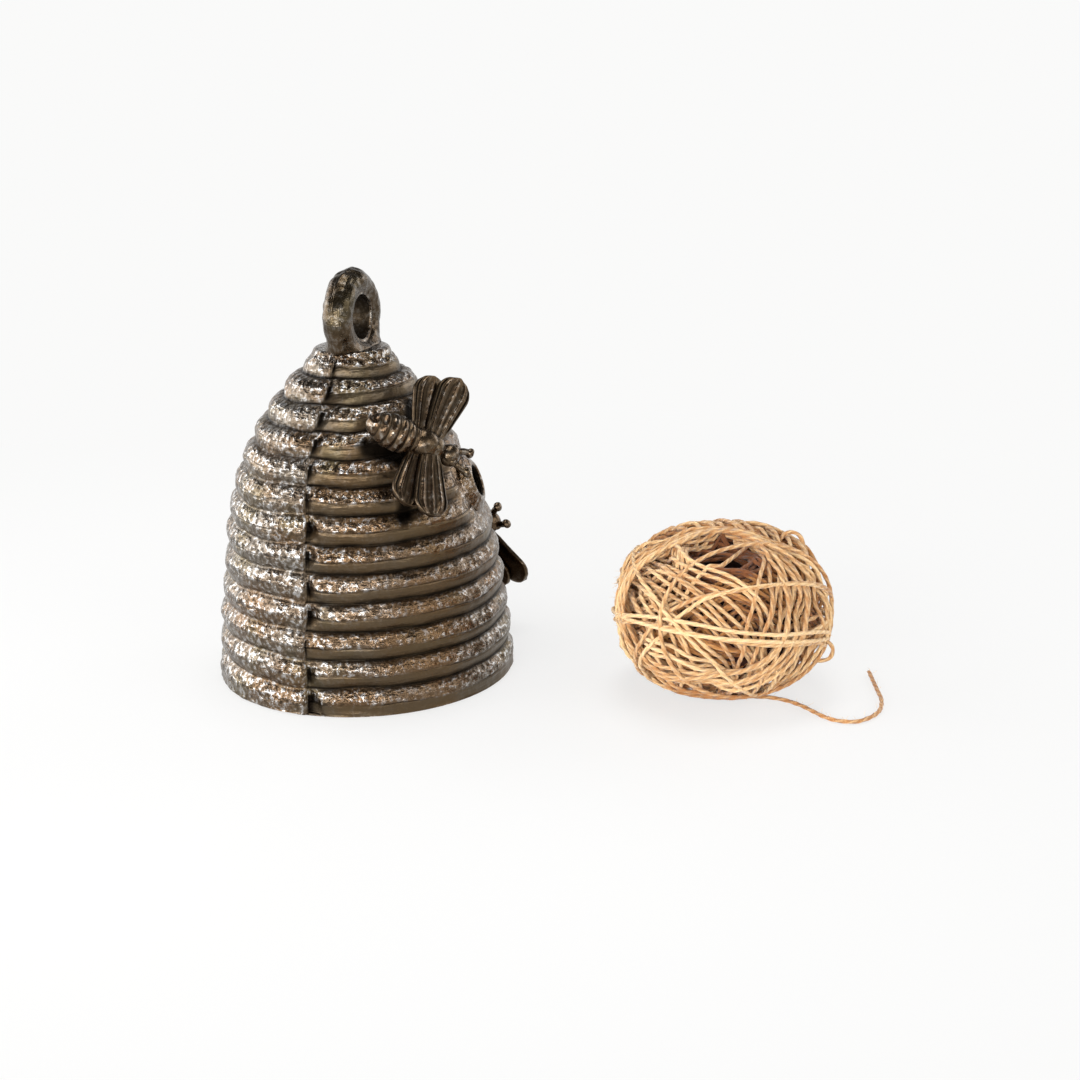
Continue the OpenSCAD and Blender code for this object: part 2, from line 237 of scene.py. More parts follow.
class Bench:
    """A node tree under construction."""

    def __init__(self, tree):
        self.tree = tree
        tree.nodes.clear()

    def node(self, kind, settings=None, sockets=()):
        """Adds a node: its settings first, then its sockets by place or by name. Returns its outputs."""
        made = self.tree.nodes.new(kind)
        for key, value in (settings or {}).items():
            setattr(made, key, value)
        for key, value in sockets.items() if isinstance(sockets, dict) else enumerate(sockets):
            if isinstance(value, Value):
                self.tree.links.new(value.socket, made.inputs[key])
            else:
                made.inputs[key].default_value = value
        return [Value(self, out) for out in made.outputs]

    def place(self):
        """Where a point is in its object."""
        return self.node("ShaderNodeTexCoord")[3]

    def along(self):
        """The map that a piece carries along itself."""
        return self.node("ShaderNodeUVMap", {"uv_map": "along"})[0]

    def number(self, name):
        """A number that a piece carries at each of its points."""
        return self.node("ShaderNodeAttribute", {"attribute_name": name})[2]

    def parts(self, vector):
        """The three numbers of a vector."""
        return self.node("ShaderNodeSeparateXYZ", sockets=[vector])

    def noise(self, where, scale, detail=2.0, roughness=0.5):
        """Noise from 0 to 1 with features about 1 / scale across."""
        sockets = {"Vector": where, "Scale": scale, "Detail": detail, "Roughness": roughness}
        return self.node("ShaderNodeTexNoise", sockets=sockets)[0]

    def stretched(self, where, scale):
        """Coordinates multiplied by a vector, to draw a pattern out along one way."""
        return self.node("ShaderNodeVectorMath", {"operation": "MULTIPLY"}, [where, scale])[0]

    def mix(self, share, first, second):
        """Two colours, mixed."""
        return self.node("ShaderNodeMix", {"data_type": "RGBA"}, {0: share, 6: first, 7: second})[2]

    def bump(self, height, distance):
        """A bump of a height that stands for a distance in metres."""
        sockets = {"Height": height, "Distance": distance, "Strength": 1.0}
        return self.node("ShaderNodeBump", sockets=sockets)[0]


def opaque(colour, share=1.0):
    """A colour of three numbers, times a share, with its alpha."""
    return (*(share * v for v in colour), 1)


def material_of(name, surface):
    """A material with the shader that surface(bench) makes."""
    material = bpy.data.materials.new(name)
    material.use_nodes = True
    bench = Bench(material.node_tree)
    bench.node("ShaderNodeOutputMaterial", sockets={"Surface": surface(bench)})
    return material


def finished(name, draw, **fixed):
    """A material: draw(bench) gives the sockets that vary, and fixed those that are the same all over."""

    def surface(bench):
        sockets = {key.replace("_", " "): value for key, value in fixed.items()}
        return bench.node("ShaderNodeBsdfPrincipled", sockets={**sockets, **draw(bench)})[0]

    return material_of(name, surface)


# %% [markdown]
# Jute twine is two hairy yarns twisted round each other. The tube of a strand carries a map: the first
# coordinate runs along the strand in millimetres and the second goes once round it. A sine of both draws
# the two yarns as a spiral, and noise stretched along the spiral draws the fibres.

# %% Jute finish
PLY_TURN = 9.0
YARN_BUMP = 0.0003


def jute(name, dark, mid, light, **fixed):
    """Twine: the yarns' spiral, fibres along it, and strands that differ a little in colour, with painted
    shade from each strand's mark.
    """

    def draw(bench):
        along, tint_and_shade = bench.along(), bench.number("mark")
        parts = bench.parts(along)
        spiral = (parts[0] * (2 * TAU / PLY_TURN) - parts[1] * (2 * TAU)).sine()
        fibres = bench.noise(bench.stretched(along, (1.1, 9.0, 1.0)), 1.0, 4.0, 0.7)
        patches = bench.noise(bench.place(), 90.0, 2.0)
        shade = spiral * 0.09 + fibres * 0.55 + patches * 0.35 + tint_and_shade * 0.45 - 0.35
        colour = bench.mix(shade.fade(0.0, 0.55), opaque(dark), opaque(mid))
        colour = bench.mix(shade.fade(0.45, 1.0), colour, opaque(light))
        return {"Base Color": colour, "Normal": bench.bump(spiral * 0.6 + fibres * 0.8, YARN_BUMP)}

    return finished(name, draw, **fixed)


jute_strand = jute(
    "jute_strand",
    dark=(0.44, 0.185, 0.055),
    mid=(0.86, 0.585, 0.295),
    light=(1.0, 0.82, 0.55),
    Roughness=0.85,
    Sheen_Weight=0.25,
)
# The inner turns, seen only in the gaps, are a darker copy of the twine: painted shade.
jute_inner_shaded = jute(
    "jute_inner_shaded",
    dark=(0.2, 0.066, 0.018),
    mid=(0.52, 0.24, 0.072),
    light=(0.7, 0.42, 0.17),
    Roughness=0.9,
    Sheen_Weight=0.15,
)
jute_shadow = jute(
    "jute_shadow",
    dark=(0.025, 0.006, 0.003),
    mid=(0.06, 0.016, 0.008),
    light=(0.12, 0.04, 0.018),
    Roughness=0.95,
)
print("jute finishes", [m.name for m in (jute_strand, jute_inner_shaded, jute_shadow)])

# %% [markdown]
# The loose end of the twine lies on the table, as in the photograph: out from under the ball, across and
# back in a hook. It follows the points that the CAD model's tail follows. A cord is a tube along a smooth
# curve, whose round section is drawn out into two lobes that turn, the two yarns.

# %% Strands along a line, and the loose end
TWINE_R, TWINE_SIDES, YARN_LOBES = 0.8, 8, 0.1
CURVE_STEPS, TAIL_STEP = 24, 0.8
UP = np.array([0, 0, 1.0])
BALL = np.array([13.0, -134.0, 30.0])
TAIL = np.array(
    [
        [1.57, -137.37, 1.11], [2.05, -139.31, 1.11], [4, -146, 1], [5, -152, 1], [4, -158, 1], [1, -164, 1],
        [-3, -169, 1], [-7, -174, 1], [-9, -179, 1], [-8, -185, 1], [-3, -189, 1], [3, -191, 1],
        [9, -191, 1], [15, -190, 1], [21, -188, 1], [27, -186, 1], [33, -184, 1], [39, -182, 1],
    ]
)  # fmt: skip


def smooth_line(points, step):
    """A curve through points, resampled at even steps: between neighbours it is the cubic whose slope at
    each point is half the chord of the points on either side."""
    slopes = np.gradient(points, axis=0)
    t = np.linspace(0, 1, CURVE_STEPS, endpoint=False)[:, None, None]
    p, q, m, n = points[:-1], points[1:], slopes[:-1], slopes[1:]
    curve = p + smooth(t) * (q - p) + (t**3 - 2 * t**2 + t) * m + (t**3 - t**2) * n
    curve = np.vstack([curve.transpose(1, 0, 2).reshape(-1, 3), points[-1:]])
    run = np.concatenate([[0], np.cumsum(np.linalg.norm(np.diff(curve, axis=0), axis=1))])
    even = np.linspace(0, run[-1], int(run[-1] / step) + 1)
    return np.stack([np.interp(even, run, curve[:, k]) for k in range(3)], axis=1), even


def strand_tube(line, run, up, closed=False):
    """Rings round a line, each square to it, with a radius of two lobes that turn once in PLY_TURN:
    r = radius * (1 - lobes + lobes * cos(2 * (angle - TAU * run / PLY_TURN))). Returns points and map."""
    ahead = np.roll(line, -1, axis=0) - np.roll(line, 1, axis=0) if closed else np.gradient(line, axis=0)
    ahead = unit(ahead)
    side = unit(np.cross(ahead, up))
    lift = np.cross(side, ahead)
    angle = full_turn(TWINE_SIDES)
    lobes = np.cos(2 * (angle - TAU * run[:, None] / PLY_TURN))
    swell = TWINE_R * (1 - YARN_LOBES + YARN_LOBES * lobes)
    ring = np.cos(angle)[:, None] * side[:, None] + np.sin(angle)[:, None] * lift[:, None]
    grid = line[:, None] + swell[..., None] * ring
    u = np.repeat(run[:, None], TWINE_SIDES + 1, axis=1)
    v = np.repeat(np.linspace(0, 1, TWINE_SIDES + 1)[None], len(line), axis=0)
    return grid, np.stack([u, v], axis=-1)


def with_ends(grid, uv, line):
    """An open tube with each end drawn in to a point, so that it is closed."""
    first, last = (np.broadcast_to(line[k], grid[:1].shape) for k in (0, -1))
    return np.concatenate([first, grid, last]), np.concatenate([uv[:1], uv, uv[-1:]])


tail_line, tail_run = smooth_line(TAIL, TAIL_STEP)
tail_tube = with_ends(*strand_tube(tail_line, tail_run, UP), tail_line)
tail = one_skin("twine_loose_end", jute_strand, "twine", "jute", *tail_tube, mark=0.1)
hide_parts("twine_tail")
print("loose end", round(tail_run[-1], 1), "mm long")

# %% [markdown]
# A ball of twine is wound by hand in hanks: a few turns side by side, then a new direction across them.
# Each turn below is a circle on a ball, moved aside where it would close the pull hole. As it is laid, a
# map of heights over the ball says what lies under each point of it, so it rides over earlier turns and
# sinks between them. When all are laid, the map, smoothed, is taken off again, so that the ball stays an
# egg however unevenly it was wound. Strands drawn straight on the egg would cut through each other.

# %% The ball's turns
RINGS = 144
BALL_SIZE = np.array([39.3, 39.3, 30.0])
SQUARE, TO_LEFT = 2.35, 1.2
HOLE, HOLE_REACH = 17.5, 0.7
HOLE_AXIS = np.array([-0.357, -0.082, 0.9305])
CELL = 1.5
# Radii that a turn's middle stands over what it lies on and its top over its middle, and its reach on the map
REST, TOP, HALF_WIDE, MOST_CELLS = 0.8, 0.7, 1.6, 8
TO_RIGHT, TO_CAMERA = np.array([0.224, -0.974, 0.0]), np.array([-0.918, -0.211, 0.334])
VIEW_AXES = np.stack([TO_RIGHT, np.cross(TO_CAMERA, TO_RIGHT), TO_CAMERA])
heights = np.zeros((int(180 / CELL), int(360 / CELL)))
draw = np.random.default_rng(7)


def axis_at(azimuth, tilt):
    """A unit vector that leans by tilt from upright towards an azimuth, both in degrees."""
    a, t = np.radians(azimuth), np.radians(tilt)
    return np.array([np.sin(t) * np.cos(a), np.sin(t) * np.sin(a), np.cos(t)])


def seen(points):
    """Unit vectors of the points on the ball's near side that the camera sees at millimetres to the right
    and up from its middle: the nearer root of the egg's equation along the line of sight."""
    flat = np.asarray(points) @ VIEW_AXES[:2] / BALL_SIZE
    sight = TO_CAMERA / BALL_SIZE
    a, b, c = sight @ sight, flat @ sight, np.sum(flat**2, axis=-1) - 1
    return flat + ((np.sqrt(np.maximum(b**2 - a * c, 0)) - b) / a)[:, None] * sight


def turn_through(points):
    """Axis and angle across of the circle through three seen points: the plane that holds all three."""
    q = unit(seen(points))
    axis = unit(np.cross(q[1] - q[0], q[2] - q[0]))
    axis = axis * (1 if axis[2] > 0 else -1)
    return axis, np.degrees(np.arcsin(q[0] @ axis))


def circle(axis, across, hole=HOLE, wobble=0.03):
    """Points of a circle at an angle across from the great circle of an axis, moved off the pull hole:
    the angle f from the hole's axis becomes the root of f squared plus the hole's angle squared."""
    level = unit(np.cross([0, 0, 1.0], axis))
    turn = full_turn(RINGS)[:, None]
    lean = np.radians(across) + wobble * np.sin(turn * draw.integers(2, 5) + draw.uniform(0, TAU))
    q = np.cos(lean) * (np.cos(turn) * level + np.sin(turn) * np.cross(axis, level)) + np.sin(lean) * axis
    high = q @ HOLE_AXIS
    off = np.arccos(np.clip(high, -1, 1))[:, None]
    moved = np.sqrt(off**2 + np.radians(hole) ** 2 * bell(off, HOLE_REACH))
    return unit(q - high[:, None] * HOLE_AXIS) * np.sin(moved) + HOLE_AXIS * np.cos(moved)


def cells(q):
    """Row and column of the map of heights under each point."""
    row = np.clip(((np.degrees(np.arcsin(q[:, 2])) + 90) / CELL).astype(int), 1, heights.shape[0] - 2)
    return row, (np.degrees(np.arctan2(q[:, 1], q[:, 0])) % 360 / CELL).astype(int) % heights.shape[1]


def settle(h, reach, soft):
    """Heights along a closed turn: the greatest within reach rings, then a mean over soft rings each way."""
    h = np.max([np.roll(h, k) for k in range(-reach, reach + 1)], axis=0)
    for _ in range(2):
        h = np.mean([np.roll(h, k) for k in range(-soft, soft + 1)], axis=0)
    return h


def lay(q, reach=1, soft=2):
    """Height of a turn's middle line over the map; the map is raised to its upper side."""
    row, column = cells(q)
    h = settle(heights[row, column], reach, soft) + REST * TWINE_R
    wide = np.clip(np.ceil(HALF_WIDE / CELL / np.sqrt(1 - q[:, 2] ** 2)).astype(int), 1, MOST_CELLS)
    for k in range(-MOST_CELLS, MOST_CELLS + 1):
        near = abs(k) <= wide
        for j in (-1, 0, 1):
            spot = (row[near] + j, (column[near] + k) % heights.shape[1])
            heights[spot] = np.maximum(heights[spot], h[near] + TOP * TWINE_R)
    return h


INNER_STEP = 4.4
# Azimuth and tilt of an inner hank's axis, angle of its middle turn off the great circle, and its turns
INNER_HANKS = [
    (20, 62, 4, 11), (110, 60, -2, 11), (200, 58, 6, 11), (290, 64, 0, 11),
    (65, 40, 0, 9), (245, 38, 4, 9), (155, 66, -4, 10), (335, 55, 5, 10),
]  # fmt: skip
# Three points that an outer hank's middle turn is seen to pass, its turns, and the degrees between them
OUTER_HANKS = [
    ([(-32, 4), (-20, 10), (-6, 24)], 6, 5.0), ([(-34, 9), (-28, -1), (-16, -24)], 6, 5.2),
    ([(-5, 13), (2.5, 7.5), (11, -2)], 4, 6.0), ([(-10, 1), (-4, -5), (8, -21)], 4, 6.0),
    ([(34, -9.5), (24, -18), (13, -27)], 6, 4.6), ([(-29, -14), (-16, -18), (4, -27)], 3, 4.5),
    ([(21, 17.5), (22.5, -1.5), (17, -24)], 8, 5.0), ([(-37, -2), (-32, 14), (-13.5, 25)], 5, 3.6),
    ([(0, 24.5), (20, 20.5), (36, 5)], 4, 3.6), ([(-20, -5), (-0.5, 5.5), (36, 6.5)], 2, 2.8),
    ([(-38, -3.5), (-1, -8.7), (37, -9.8)], 3, 2.8), ([(-15, -9.5), (-6.3, -18), (6, -26.5)], 1, 0),
]  # fmt: skip
OVER_HOLE = [(-20.9, -5.1), (-3.4, 18.2), (20.6, 21.1)]


def hank_turns(hanks):
    """Lays hanks of an axis, a middle angle, turns and a step one after another: a list of each turn's
    points on the ball and their heights."""
    laid = []
    for axis, middle, turns, step in hanks:
        for k in range(turns):
            place, lean = k - (turns - 1) / 2, draw.normal(0, 0.02, 3)
            q = circle(unit(axis + lean), middle + step * place + draw.normal(0, 0.5))
            laid.append((q, lay(q)))
    return laid


def smoothed(field, reach):
    """A map's mean over squares of reach cells each way, twice; it joins up round the ball."""
    for _ in range(2):
        field = np.mean([np.roll(field, k, axis=1) for k in range(-reach, reach + 1)], axis=0)
        padded = np.pad(field, ((reach, reach), (0, 0)), mode="edge")
        field = np.mean([padded[k : k + len(field)] for k in range(2 * reach + 1)], axis=0)
    return field


inner_laid = hank_turns(
    [(axis_at(azimuth, tilt), middle, turns, INNER_STEP) for azimuth, tilt, middle, turns in INNER_HANKS]
)
outer_laid = hank_turns([(*turn_through(points), turns, step) for points, turns, step in OUTER_HANKS])
over_hole = circle(*turn_through(OVER_HOLE), hole=1, wobble=0)
outer_laid.append((over_hole, lay(over_hole, 9, 3)))
pile = smoothed(heights, 9)
count, low, high = len(inner_laid) + len(outer_laid), pile.min().round(1), pile.max().round(1)
print(count, "turns, piled", low, "to", high, "mm high")

# %% [markdown]
# Every turn becomes a tube. The spiral of its yarns has to come round to where it began, so the length on
# its map is rounded to whole twists. Turns are painted darker near the table, and the ones that go round
# the pull hole are painted darker on the side towards it: painted shade. The inner turns get a darker jute,
# also painted shade.

# %% Tubes of the turns
SINK_IN, LEAST_INSET, LOWEST = 0.85, 0.6, 1.25
TABLE_SHADE, TABLE_REACH = 0.9, 13
HOLE_SHADE, HOLE_FADE = 1.1, 4


def fuller(q):
    """Unit vectors moved out to a squarer egg: across and up to the power SQUARE add up to 1."""
    across, up = np.linalg.norm(q[:, :2], axis=1), np.abs(q[:, 2])
    return q / ((across**SQUARE + up**SQUARE) ** (1 / SQUARE))[:, None]


def tint_and_shade_of(q, grid, dark_to):
    """How light a turn is: a tint of its own, with painted shade near the table and painted shade within
    dark_to degrees of the hole's axis on turns that go round the hole."""
    tint_and_shade = draw.uniform(0.25, 0.9) - TABLE_SHADE * ramp(1 - grid[..., 2] / TABLE_REACH) ** 1.5
    off = np.degrees(np.arccos(np.clip(q @ HOLE_AXIS, -1, 1)))[:, None]
    return tint_and_shade - HOLE_SHADE * ramp((dark_to - off) / HOLE_FADE) * (off.min() > 0.8 * HOLE)


def wound(laid, name, finish, dark_to):
    """The laid turns as tubes in one piece, set into the egg and kept above the table."""
    skin, length = Skin(), 0.0
    for q, h in laid:
        inset = np.maximum(TWINE_R + SINK_IN * (pile[cells(q)] - h), LEAST_INSET)
        line = BALL + fuller(q) * (BALL_SIZE - inset[:, None]) - TO_LEFT * TO_RIGHT
        line[:, 2] = np.maximum(line[:, 2], LOWEST)
        gaps = np.linalg.norm(np.roll(line, -1, axis=0) - line, axis=1)
        whole = gaps.sum()
        twists = PLY_TURN * round(whole / PLY_TURN)
        run = np.concatenate([[0], np.cumsum(gaps)[:-1]]) * (twists / whole)
        grid, uv = strand_tube(line, run, q, closed=True)
        end = uv[:1].copy()
        end[..., 0] = twists
        skin.add(grid, np.concatenate([uv, end]), mark=tint_and_shade_of(q, grid, dark_to), ring_rows=True)
        length += whole
    print(name, "holds", round(length / 1000, 1), "m of twine")
    return skin.build(name, finish, "twine", "jute")


wound(inner_laid, "twine_inner_turns", jute_inner_shaded, 27)
outer_turns = wound(outer_laid, "twine_outer_turns", jute_strand, 19)
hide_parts("twine_winding")

# %% [markdown]
# Not all of it is tight: near the top a strand stands off the ball, and two short loops have slipped out at
# the side. Each is an open strand through points given from the photograph's side: to the right, up and
# towards the camera, from the middle of the ball. Both ends go back in among the turns.

# %% Loose strands
LOOSE = [
    [[-16, 22, 3], [-4, 27.5, 0], [8.4, 30.6, -2], [17, 29.2, -3], [23, 25.5, -3], [26, 20, -2], [25, 13, 0]],
    [[17, 19, 6], [19.5, 23.5, 5], [22.5, 27, 4], [26.5, 26.5, 3], [28.5, 22.5, 2], [27, 17, 3], [24, 12, 5]],
    [[33, -8, 4], [36.5, -10.5, 5], [39, -13.5, 4], [38, -17, 3], [34, -18, 3], [29, -17, 4]],
]
LOOSE_STEP = 0.9
loose_skin = Skin()
for points in LOOSE:
    line, run = smooth_line(BALL - TO_LEFT * TO_RIGHT + np.array(points) @ VIEW_AXES, LOOSE_STEP)
    tube = strand_tube(line, run, unit(line - BALL))
    loose_skin.add(*with_ends(*tube, line), mark=draw.uniform(0.3, 0.8))
loose_skin.build("twine_loose_strands", jute_strand, "twine", "jute")

# %% [markdown]
# Jute sheds: short fibres stand off every strand. Each is a thin bent spike with three sides, and all of them
# together are one light mesh.

# %% Loose fibres
FIBRES, TAIL_FIBRES, FIBRE_STEPS = 900, 40, 5
FIBRE_SPREAD, FIBRE_BEND, FIBRE_SWELL = 0.9, 0.45, 0.22
ROOT_INSET, TAIL_TOP, FIBRE_FLOOR = 1.2, 0.9, 0.1


def fibres(roots, away):
    """Spikes from roots: a start along away with some sideways spread, a bend, and a point at each end."""
    many = len(roots)
    ahead = unit(away + FIBRE_SPREAD * draw.normal(size=(many, 3)))
    bend = unit(np.cross(ahead, draw.normal(size=(many, 3))))
    t = np.linspace(0, 1, FIBRE_STEPS)[None, :, None]
    length = draw.uniform(0.8, 2.8, (many, 1, 1))
    line = roots[:, None] + length * (t * ahead[:, None] + FIBRE_BEND * t**2 * bend[:, None])
    angle = full_turn(3)[:, None]
    ring = np.cos(angle) * bend[:, None] + np.sin(angle) * np.cross(ahead, bend)[:, None]
    return line[:, :, None] + (FIBRE_SWELL * t * (1 - t))[..., None] * ring[:, None]


turn_of, point_of = draw.integers(0, len(outer_laid), FIBRES), draw.integers(0, RINGS, FIBRES)
ways = np.array([outer_laid[k][0][j] for k, j in zip(turn_of, point_of)])
ball_hairs = fibres(BALL + fuller(ways) * (BALL_SIZE - ROOT_INSET) - TO_LEFT * TO_RIGHT, ways)
tail_roots = tail_line[draw.integers(4, len(tail_line) - 2, TAIL_FIBRES)] + TAIL_TOP * UP
tail_hairs = fibres(tail_roots, 0.5 * UP + 0.8 * draw.normal(size=(TAIL_FIBRES, 3)))
hairs = np.concatenate([ball_hairs, tail_hairs])
hairs[..., 2] = np.maximum(hairs[..., 2], FIBRE_FLOOR)
fibre_skin = Skin()
for hair in hairs:
    fibre_skin.add(hair, mark=0.8)
fibre_skin.build("twine_fibres", jute_strand, "twine", "jute")

# %% [markdown]
# Under the turns is the imported middle of the ball. It is near black, a painted shade, and shows only as
# darkness in the gaps and in the pull hole on top. It is an egg with a pit, turned round the pull hole's
# axis.

# %% The ball's middle
CORE_A, CORE_C = 30.0, 21.5
PIT_R, PIT_DEPTH = 10.0, 20.0


def ball_middle():
    """Rings of a profile from the bottom of the ball, up its side and down into the pull hole."""
    up = np.radians(np.linspace(-90, 74, 40))
    side = np.stack([CORE_A * np.cos(up), CORE_C * np.sin(up)], axis=1)
    floor = CORE_C - PIT_DEPTH
    pit = [[PIT_R, CORE_C - 2], [0.95 * PIT_R, floor + 3], [0.7 * PIT_R, floor], [0, floor]]
    grid = revolved(np.vstack([side, pit]), full_turn(72))
    across, ahead = unit(np.cross([0, 1, 0], HOLE_AXIS)), unit(np.cross(HOLE_AXIS, [1, 0, 0]))
    return BALL + grid @ np.stack([across, ahead, HOLE_AXIS])


middle = one_skin("twine_middle", jute_shadow, "twine", "jute", ball_middle(), mark=0.3)
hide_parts("twine_core")

# %% [markdown]
# The hive is one heavy casting. Its outline is two arcs, and thirteen rope rings run along it, so the
# surface is that outline pushed inwards by the depth of a circle's section under its crest. The mould's
# two halves met a little out of line: the back half stands 0.8 mm to the left, which leaves a step down
# each side. Sand and hot iron leave everything slightly uneven.

# %% Outline of the hive
FOOT_R, SIDE_LEAN, SIDE_CURVE, SIDE_RUN, CROWN_CURVE = 55.0, np.radians(3.5), 500.0, 55.0, 114.0975
RING_COUNT, RING_PITCH, RING_R, WALL = 13, 10.2, 7.0, 6.5
FOOT_INSET, SEAM_SHIFT, PAD_R = 0.5, 0.8, 13.9
TOP_RUN = RING_COUNT * RING_PITCH


def lean_at(run):
    """Lean of the outline from upright: its turning along the side, then along the crown."""
    return SIDE_LEAN + np.minimum(run, SIDE_RUN) / SIDE_CURVE + np.maximum(run - SIDE_RUN, 0) / CROWN_CURVE


def outline(run, depth=0.0):
    """Radius and height of the ring crests at a distance run up the outline, moved inwards by depth."""
    a, b, c = SIDE_LEAN, lean_at(np.minimum(run, SIDE_RUN)), lean_at(run)
    radius = FOOT_R - SIDE_CURVE * (np.cos(a) - np.cos(b)) - CROWN_CURVE * (np.cos(b) - np.cos(c))
    height = SIDE_CURVE * (np.sin(b) - np.sin(a)) + CROWN_CURVE * (np.sin(c) - np.sin(b))
    return radius - depth * np.cos(c), height - depth * np.sin(c)


def ring_depth(run):
    """Depth of a rope ring's round section below its crest."""
    off = np.mod(run, RING_PITCH) - RING_PITCH / 2
    return RING_R - np.sqrt(RING_R**2 - off**2)


CROWN_Z = float(outline(TOP_RUN)[1])
print("crown at", round(CROWN_Z, 2), "mm")

# %% [markdown]
# Lacquered iron is dark, but it mirrors the studio, and the rough casting breaks the mirror into specks.
# The colour drifts between bronze brown, rust and olive. It goes almost black in the grooves, where the
# piece's own mark says how deep it lies, and wherever else the mark paints shade: that darkness is painted
# shade. Smooth iron is painted a darker olive, which on the hive's rings is painted shade on their lower
# sides. Two sizes of specks and lines drawn along the rings go into the bump, and the gloss varies with
# them. A band down the front is browner. The loop and the bees were cast smoother and darker than the hive.

# %% Iron finish
COARSE, FINE, DRIFT, OLIVE_DRIFT = 560.0, 1600.0, 38.0, 55.0
FRONT_FROM, FRONT_TO = (-0.056, -0.036), (-0.038, -0.005)


def iron(name, dark, mid, rust, olive, worn, bump, streak):
    """Lacquered cast iron. mark is 0 on a crest and 1 in a groove, and darkens the colour there as painted
    shade. grain is how rough the casting is: rough iron is worn bright on its specks and dark in its pits,
    and smooth iron gets a darker olive, painted shade on the rings' lower sides. bump is the height of the
    specks in metres and streak the share of lines along the piece in them."""

    def draw(bench):
        place, along = bench.place(), bench.along()
        groove, grain = bench.number("mark"), bench.number("grain")
        coarse = bench.noise(place, COARSE, 2.0, 0.5)
        fine = bench.noise(place, FINE, 2.0, 0.6)
        straw = bench.noise(bench.stretched(along, (0.06, 0.8, 1.0)), 1.0, 2.0, 0.6)
        forward = bench.parts(place)[1]
        front = forward.fade(*FRONT_FROM) * (1 - forward.fade(*FRONT_TO))
        layers = [
            (bench.noise(place, DRIFT, 3.0, 0.6).fade(0.35, 0.65), opaque(rust)),
            (bench.noise(place, OLIVE_DRIFT, 2.0).fade(0.48, 0.72), opaque(olive)),
            ((coarse * 0.7 + fine * 0.3).fade(0.5, 0.64) * grain, opaque(worn)),
            ((1 - coarse).fade(0.5, 0.66) * grain * 0.75, opaque(dark)),
            (front * 0.7, opaque(rust)),
            # Painted shade: smooth iron, on the hive the lower side of each ring, goes a darker olive.
            ((1 - grain).fade(0.1, 1.0) * 0.55, opaque(olive, 0.5)),
            # Painted shade: marked grooves and hollows go almost black.
            (groove.fade(0.55, 0.95), opaque(dark, 0.35)),
        ]
        colour = opaque(mid)
        for share, over in layers:
            colour = bench.mix(share, colour, over)
        gloss = 0.27 + fine * 0.14 + groove * 0.25 - grain * 0.13
        height = (coarse * 0.6 + fine * 0.16) * (0.2 + grain * 0.8) + straw * streak
        return {"Base Color": colour, "Roughness": gloss, "Normal": bench.bump(height, bump)}

    return finished(name, draw, Metallic=1.0)


hive_iron = iron(
    "hive_iron",
    dark=(0.022, 0.016, 0.011),
    mid=(0.152, 0.127, 0.1),
    rust=(0.148, 0.09, 0.047),
    olive=(0.138, 0.106, 0.06),
    worn=(0.5, 0.495, 0.49),
    bump=0.001,
    streak=0.26,
)
loop_iron = iron(
    "loop_iron",
    dark=(0.012, 0.008, 0.005),
    mid=(0.08, 0.06, 0.04),
    rust=(0.085, 0.055, 0.032),
    olive=(0.075, 0.059, 0.034),
    worn=(0.22, 0.2, 0.175),
    bump=0.0006,
    streak=0.5,
)
bee_iron = iron(
    "bee_iron",
    dark=(0.016, 0.011, 0.007),
    mid=(0.1, 0.075, 0.048),
    rust=(0.105, 0.067, 0.04),
    olive=(0.09, 0.07, 0.04),
    worn=(0.46, 0.43, 0.38),
    bump=0.0004,
    streak=0.1,
)
print("iron finishes", [m.name for m in (hive_iron, loop_iron, bee_iron)])

# %% [markdown]
# The wall and the bees on it share axes. Under and beside each bee the casting is painted dark: a painted
# shadow of the bee.

# %% Places on the wall
UPPER_BEE, LOWER_BEE = (-34, 92.5, -32), (65, 38, 150)
# Start, end and reach of a bee's painted shadow, in its own axes: body, left wings, right wings
BEE_SHADES = [
    ((-13, -4), (2, -4), 11.0), ((1, 3), (-2, 18), 8.0), ((1, 3), (4, 18), 8.0),
    ((1, -3), (4, -16), 8.0), ((4, -14), (5, -24), 9.0),
]  # fmt: skip
SHADE_DEPTH = 20


def on_wall(angle, run):
    """Axes and place on the ring crests: columns point down, level and out of the wall."""
    a, lean = np.radians(angle - 90), lean_at(run)
    radius, height = outline(run)
    away, level = np.array([np.cos(a), np.sin(a), 0]), np.array([-np.sin(a), np.cos(a), 0])
    out = np.cos(lean) * away + np.sin(lean) * UP
    return np.stack([np.cross(level, out), level, out], axis=1), radius * away + height * UP


def bee_axes(angle, run, heading):
    """Axes and place of a bee: its heading, its left and straight out of the wall."""
    axes, place = on_wall(angle, run)
    c, s = np.cos(np.radians(90 + heading)), np.sin(np.radians(90 + heading))
    return axes @ np.array([[c, -s, 0], [s, c, 0], [0, 0, 1]]), place


def near_line(p, start, end, radius):
    """1 on the line from start to end and 0 beyond a radius from it, in a smooth step."""
    start, way = np.array(start, float), np.subtract(end, start).astype(float)
    along = ramp((p - start) @ way / np.sum(way**2))[..., None]
    return smooth(1 - np.linalg.norm(p - start - along * way, axis=-1) / radius)


def bee_shade(spot):
    """How dark the bees' painted shadows make each spot of the casting, seen along the wall's normal."""
    shade = np.zeros(spot.shape[:-1])
    for bee_place in (UPPER_BEE, LOWER_BEE):
        axes, place = bee_axes(*bee_place)
        p = (spot - place) @ axes
        for start, end, radius in BEE_SHADES:
            shade = np.maximum(shade, (p[..., 2] > -SHADE_DEPTH) * near_line(p[..., :2], start, end, radius))
    return shade


print("bees at", [bee_axes(*b)[1].round(1).tolist() for b in (UPPER_BEE, LOWER_BEE)])

